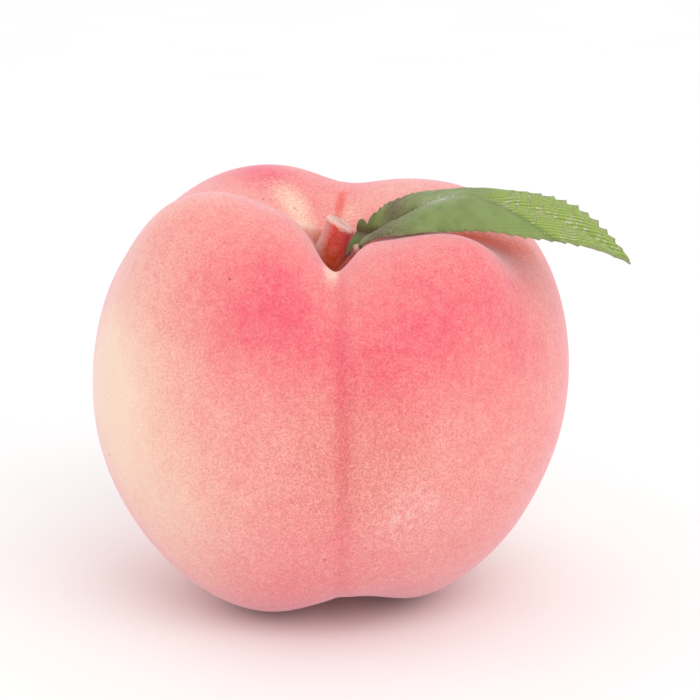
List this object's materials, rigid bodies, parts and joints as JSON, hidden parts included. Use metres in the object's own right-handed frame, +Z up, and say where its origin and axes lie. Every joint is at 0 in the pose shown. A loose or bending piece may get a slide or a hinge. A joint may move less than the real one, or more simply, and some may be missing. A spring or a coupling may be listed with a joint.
{
  "type": "artificial peach",
  "caption": "Artificial peach for decoration: a flocked, moulded fruit with its stem stub, a cloth leaf and a drop of glue that holds it.",
  "frame": {"origin": "on the flat spot under the fruit, below its mass centre", "axes": "+Z up, the seam of the fruit faces -Y, the leaf reaches out towards +X"},
  "size_m": [0.0888, 0.0763, 0.0713],
  "materials": {
    "flocked_foam": "moulded foam, airbrushed cream, peach and coral, with short pale flock",
    "leaf_cloth": "woven polyester, printed green, heat-set",
    "hot_glue": "translucent, pale beige"
  },
  "bodies": {
    "root": {"fruit": "flocked_foam", "leaf": "leaf_cloth", "glue_bead": "hot_glue"}
  },
  "joints": []
}
